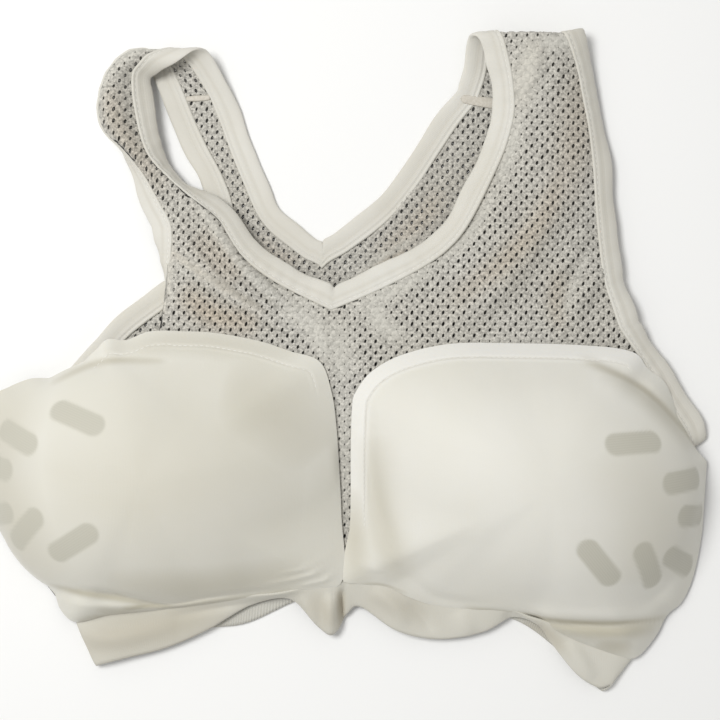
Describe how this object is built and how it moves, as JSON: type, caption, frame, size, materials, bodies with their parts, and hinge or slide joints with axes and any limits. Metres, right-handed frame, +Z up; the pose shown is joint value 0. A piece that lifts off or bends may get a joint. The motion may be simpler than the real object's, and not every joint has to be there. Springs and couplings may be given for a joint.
{
  "type": "women's karate chest guard",
  "caption": "White bra-shaped karate chest guard for women, lying on its back: rigid slotted cups under stretch covers, eyelet mesh front and back, bound edges and a waved underband.",
  "frame": {"origin": "on the surface that the guard lies on, under the back mesh at the middle of the garment", "axes": "+Z up from that surface, +Y from the underband to the shoulders, +X to the right of a viewer who looks down on the front"},
  "size_m": [0.3988, 0.3671, 0.0576],
  "materials": {
    "eyelet_mesh": "matt eyelet mesh knit",
    "cover_jersey": "smooth stretch jersey",
    "binding_jersey": "stretch jersey tape",
    "band_elastic": "ribbed elastic faced with jersey",
    "cup_plastic": "moulded, matt"
  },
  "bodies": {
    "root": {"front_mesh": "eyelet_mesh", "back_mesh": "eyelet_mesh", "cover_left": "cover_jersey", "cover_right": "cover_jersey", "cup_left": "cup_plastic", "cup_right": "cup_plastic", "neck_binding": "binding_jersey", "arm_binding_left": "binding_jersey", "arm_binding_right": "binding_jersey", "underband": "band_elastic"}
  },
  "joints": []
}
